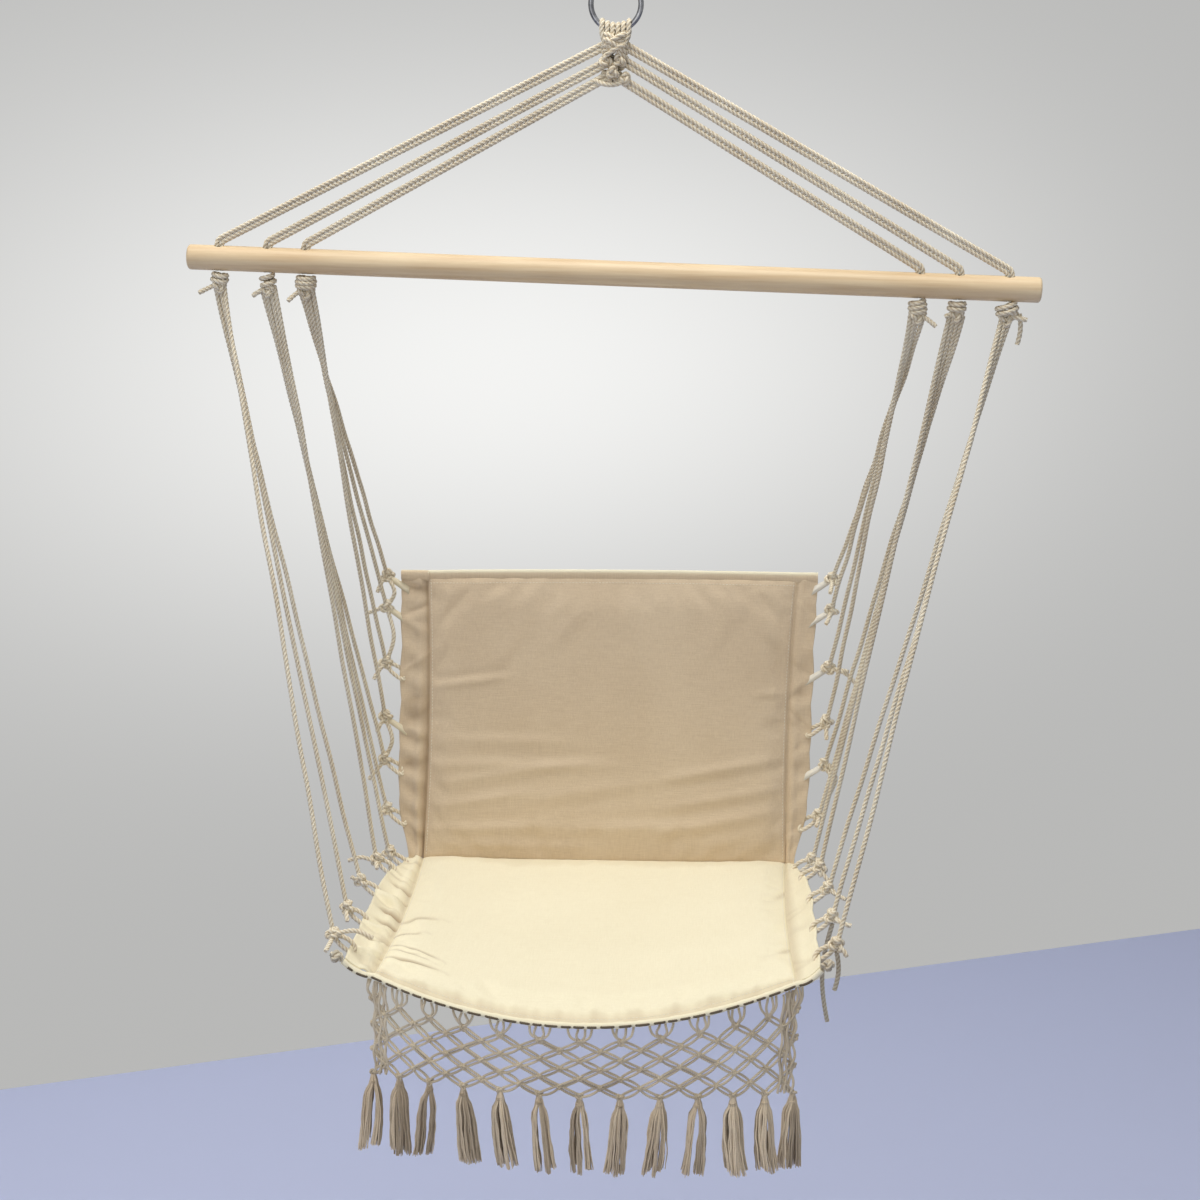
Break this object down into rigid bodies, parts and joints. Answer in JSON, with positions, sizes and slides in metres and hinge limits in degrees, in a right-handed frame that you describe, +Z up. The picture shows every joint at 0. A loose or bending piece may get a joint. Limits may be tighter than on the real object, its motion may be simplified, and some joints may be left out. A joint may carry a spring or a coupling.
{
  "type": "hammock chair",
  "caption": "Hanging hammock chair: steel ring, knotted cotton cords, wooden spreader bar, padded canvas seat and back, netted and tasselled fringe.",
  "frame": {"origin": "the point inside the top of the steel ring where a hook bears", "axes": "+X along the spreader bar, -Y the way the sitter faces, +Z up"},
  "size_m": [0.9502, 0.4946, 1.2813],
  "materials": {
    "ring_steel": "polished",
    "cotton_cord": "matte",
    "natural_wood": "satin",
    "cotton_canvas": "matte",
    "tassel_yarn": "matte"
  },
  "bodies": {
    "ring": {"hanging_ring": "ring_steel"},
    "hanger": {"head_knots_lower": "cotton_cord", "head_knots_middle": "cotton_cord", "head_loops": "cotton_cord", "spreader_bar": "natural_wood", "upper_cord_left_inner_a": "cotton_cord", "upper_cord_left_inner_b": "cotton_cord", "upper_cord_left_middle_a": "cotton_cord", "upper_cord_left_middle_b": "cotton_cord", "upper_cord_left_outer_a": "cotton_cord", "upper_cord_left_outer_b": "cotton_cord", "upper_cord_right_inner_a": "cotton_cord", "upper_cord_right_inner_b": "cotton_cord", "upper_cord_right_middle_a": "cotton_cord", "upper_cord_right_middle_b": "cotton_cord", "upper_cord_right_outer_a": "cotton_cord", "upper_cord_right_outer_b": "cotton_cord"},
    "sling": {"back_flap_left": "cotton_canvas", "back_flap_right": "cotton_canvas", "back_pad": "cotton_canvas", "back_top_hem": "cotton_canvas", "cord_bundle_left_inner": "cotton_cord", "cord_bundle_left_middle": "cotton_cord", "cord_bundle_left_outer": "cotton_cord", "cord_bundle_right_inner": "cotton_cord", "cord_bundle_right_middle": "cotton_cord", "cord_bundle_right_outer": "cotton_cord", "front_corner_knot_left": "cotton_cord", "front_corner_knot_right": "cotton_cord", "loose_tail_right_bar": "cotton_cord", "loose_tail_right_long": "cotton_cord", "loose_tail_right_short": "cotton_cord", "seat_flap_left": "cotton_canvas", "seat_flap_right": "cotton_canvas", "seat_front_hem": "cotton_canvas", "seat_pad": "cotton_canvas"},
    "fringe": {"fringe_net": "cotton_cord", "tassel_01": "tassel_yarn", "tassel_02": "tassel_yarn", "tassel_03": "tassel_yarn", "tassel_04": "tassel_yarn", "tassel_05": "tassel_yarn", "tassel_06": "tassel_yarn", "tassel_07": "tassel_yarn", "tassel_08": "tassel_yarn", "tassel_09": "tassel_yarn", "tassel_10": "tassel_yarn", "tassel_11": "tassel_yarn", "tassel_12": "tassel_yarn", "tassel_13": "tassel_yarn"}
  },
  "joints": [
    {"name": "hanger_swing", "type": "hinge", "parent": "ring", "child": "hanger", "pos_m": [0, 0, -0.051], "axis": [1, 0, 0], "range_deg": [-35, 35]},
    {"name": "seat_swing", "type": "hinge", "parent": "hanger", "child": "sling", "pos_m": [-0.00035, 0, -0.3378], "axis": [0.9999, 0, -0.0131], "range_deg": [-30, 30]},
    {"name": "fringe_swing", "type": "hinge", "parent": "sling", "child": "fringe", "pos_m": [0, -0.26, -1.085], "axis": [1, 0, 0], "range_deg": [-40, 40], "deforming": ["fringe_net"]}
  ]
}
